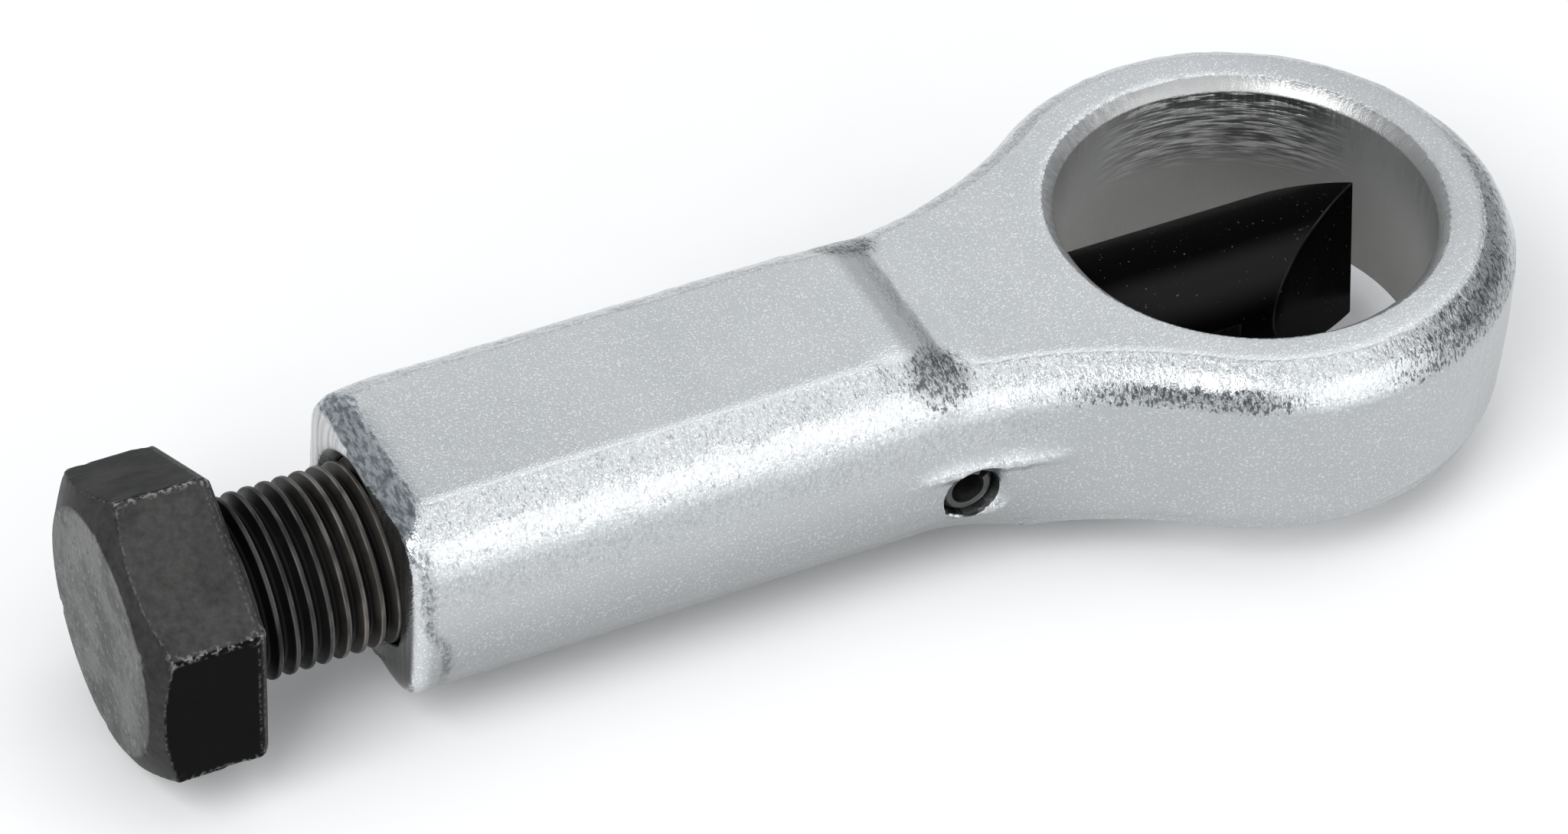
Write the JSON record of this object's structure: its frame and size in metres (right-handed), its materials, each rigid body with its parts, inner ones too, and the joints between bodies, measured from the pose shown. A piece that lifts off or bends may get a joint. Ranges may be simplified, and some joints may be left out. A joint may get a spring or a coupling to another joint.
{
  "type": "nut splitter",
  "caption": "Screw-driven nut splitter: a forged ring eye on a square shank, with a hexagon-headed pressure screw that drives a wedge chisel into the eye.",
  "frame": {"origin": "centre of the nut eye, halfway through the ring's thickness", "axes": "+X along the tool from the hexagon head to the eye, +Z along the axis of the eye with the flat underside facing -Z"},
  "size_m": [0.1292, 0.0472, 0.0276],
  "materials": {
    "zinc_plated_forging": "pale bluish zinc plate over an as-forged skin",
    "spring_steel": "dark phosphated spring steel",
    "black_tool_steel": "satin black oxide, ground faces",
    "black_oxide_steel": "black oxide with worn bright edges"
  },
  "bodies": {
    "frame": {"body": "zinc_plated_forging", "roll_pin": "spring_steel"},
    "chisel": {"chisel": "black_tool_steel"},
    "screw": {"pressure_screw": "black_oxide_steel"}
  },
  "joints": [
    {"name": "chisel_feed", "type": "slide", "parent": "frame", "child": "chisel", "axis": [1, 0, 0], "range_m": [-0.0255, 0.004]},
    {"name": "screw_turn", "type": "hinge", "parent": "chisel", "child": "screw", "pos_m": [-0.09, 0, 0], "axis": [1, 0, 0], "range_deg": [-6121, 961]}
  ],
  "couplings": [
    {"joint": "screw_turn", "follows": "chisel_feed", "rad_per_m": 4188.8}
  ]
}
